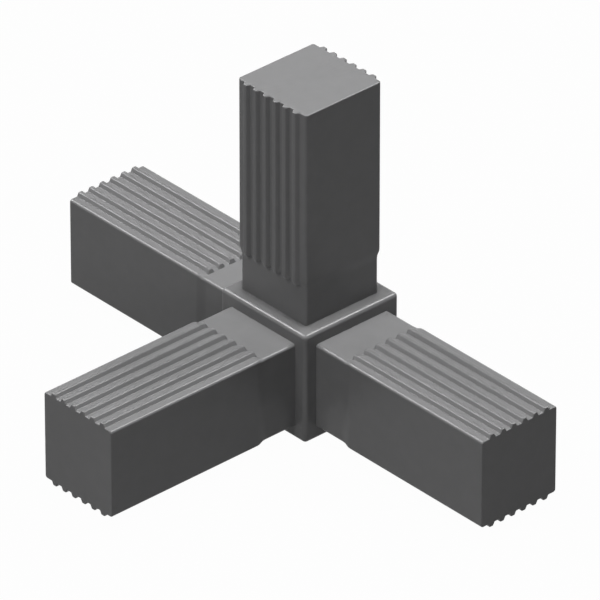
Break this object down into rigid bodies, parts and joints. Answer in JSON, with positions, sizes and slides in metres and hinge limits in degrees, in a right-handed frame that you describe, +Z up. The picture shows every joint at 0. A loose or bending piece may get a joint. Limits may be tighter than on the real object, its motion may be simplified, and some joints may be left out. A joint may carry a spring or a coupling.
{
  "type": "square tube connector",
  "caption": "Moulded plastic tube connector: a cubic hub with ribbed square legs, in line, sideways and upright, that press into the ends of square tubes.",
  "frame": {"origin": "centre of the hub's underside", "axes": "+Z up along the upright leg, +X along the two legs in line, -Y along the side leg"},
  "size_m": [0.122, 0.0735, 0.0735],
  "materials": {
    "moulding": "satin, as moulded"
  },
  "bodies": {
    "root": {"connector": "moulding"}
  },
  "joints": []
}
